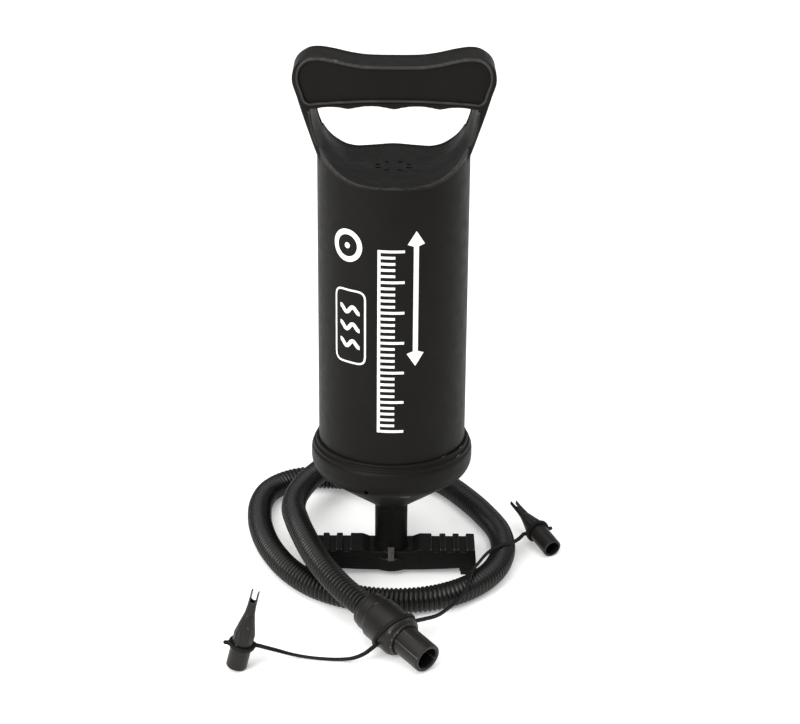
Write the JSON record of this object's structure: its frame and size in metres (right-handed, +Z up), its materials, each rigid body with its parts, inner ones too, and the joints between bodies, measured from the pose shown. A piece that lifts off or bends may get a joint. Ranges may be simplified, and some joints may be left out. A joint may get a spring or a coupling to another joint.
{
  "type": "double-action hand air pump",
  "caption": "Hand air pump: sliding barrel with a D-handle on a fixed stem and foot bar, corrugated hose, nozzle and tethered valve adapters.",
  "frame": {"origin": "on the floor under the stem's axis, at the middle of the foot bar", "axes": "+Z up along the stem and barrel, +X along the foot bar and handle to the right, +Y to the rear where the hose leaves"},
  "size_m": [0.1869, 0.2401, 0.305],
  "materials": {
    "barrel_plastic": "satin charcoal polypropylene with a fine moulded texture",
    "charcoal_plastic": "satin charcoal plastic",
    "hose_plastic": "corrugated flexible charcoal plastic",
    "soft_grey_plastic": "soft dark warm grey plastic",
    "grey_plastic": "mid grey plastic",
    "natural_plastic": "unpigmented acetal",
    "black_rubber": "matt black rubber",
    "red_rubber": "soft silicone sheet",
    "zinc_steel": "zinc plated"
  },
  "bodies": {
    "base": {"foot_bar": "charcoal_plastic", "foot_pads": "black_rubber", "lock_key": "grey_plastic", "stem_tube": "charcoal_plastic", "port_gasket": "black_rubber", "hose_connector": "charcoal_plastic", "piston_lower": "natural_plastic", "piston_upper": "natural_plastic", "piston_seal": "black_rubber", "piston_screws": "zinc_steel", "air_hose": "hose_plastic", "hose_sleeve": "soft_grey_plastic", "hose_nozzle": "soft_grey_plastic", "tether_band": "black_rubber", "tether_left": "black_rubber", "tether_right": "black_rubber", "tether_loop_left": "black_rubber", "tether_loop_right": "black_rubber", "valve_adapter_left": "soft_grey_plastic", "valve_adapter_right": "soft_grey_plastic"},
    "outlet_flap_upper": {"outlet_flap_upper": "red_rubber"},
    "outlet_flap_lower": {"outlet_flap_lower": "red_rubber"},
    "guide": {"stem_bush": "natural_plastic", "stem_seal": "black_rubber"},
    "barrel": {"barrel_shell": "barrel_plastic", "lower_cap": "barrel_plastic", "end_plate": "natural_plastic", "plate_gasket": "black_rubber", "bumper_upper": "black_rubber", "bumper_lower": "black_rubber", "intake_cage": "natural_plastic"},
    "intake_flap_upper": {"intake_flap_upper": "red_rubber"},
    "intake_flap_lower": {"intake_flap_lower": "red_rubber"}
  },
  "joints": [
    {"name": "barrel_slide", "type": "slide", "parent": "base", "child": "guide", "axis": [0, 0, 1], "range_m": [0, 0.144]},
    {"name": "barrel_turn", "type": "hinge", "parent": "guide", "child": "barrel", "pos_m": [0, 0, 0.05], "axis": [0, 0, 1], "continuous": true},
    {"name": "outlet_flap_upper_lift", "type": "slide", "parent": "base", "child": "outlet_flap_upper", "axis": [0, 0, 1], "range_m": [0, 0.0013]},
    {"name": "outlet_flap_lower_lift", "type": "slide", "parent": "base", "child": "outlet_flap_lower", "axis": [0, 0, 1], "range_m": [0, 0.0012]},
    {"name": "intake_flap_upper_lift", "type": "slide", "parent": "barrel", "child": "intake_flap_upper", "axis": [0, 0, 1], "range_m": [0, 0.0014]},
    {"name": "intake_flap_lower_lift", "type": "slide", "parent": "barrel", "child": "intake_flap_lower", "axis": [0, 0, 1], "range_m": [0, 0.0012]}
  ]
}
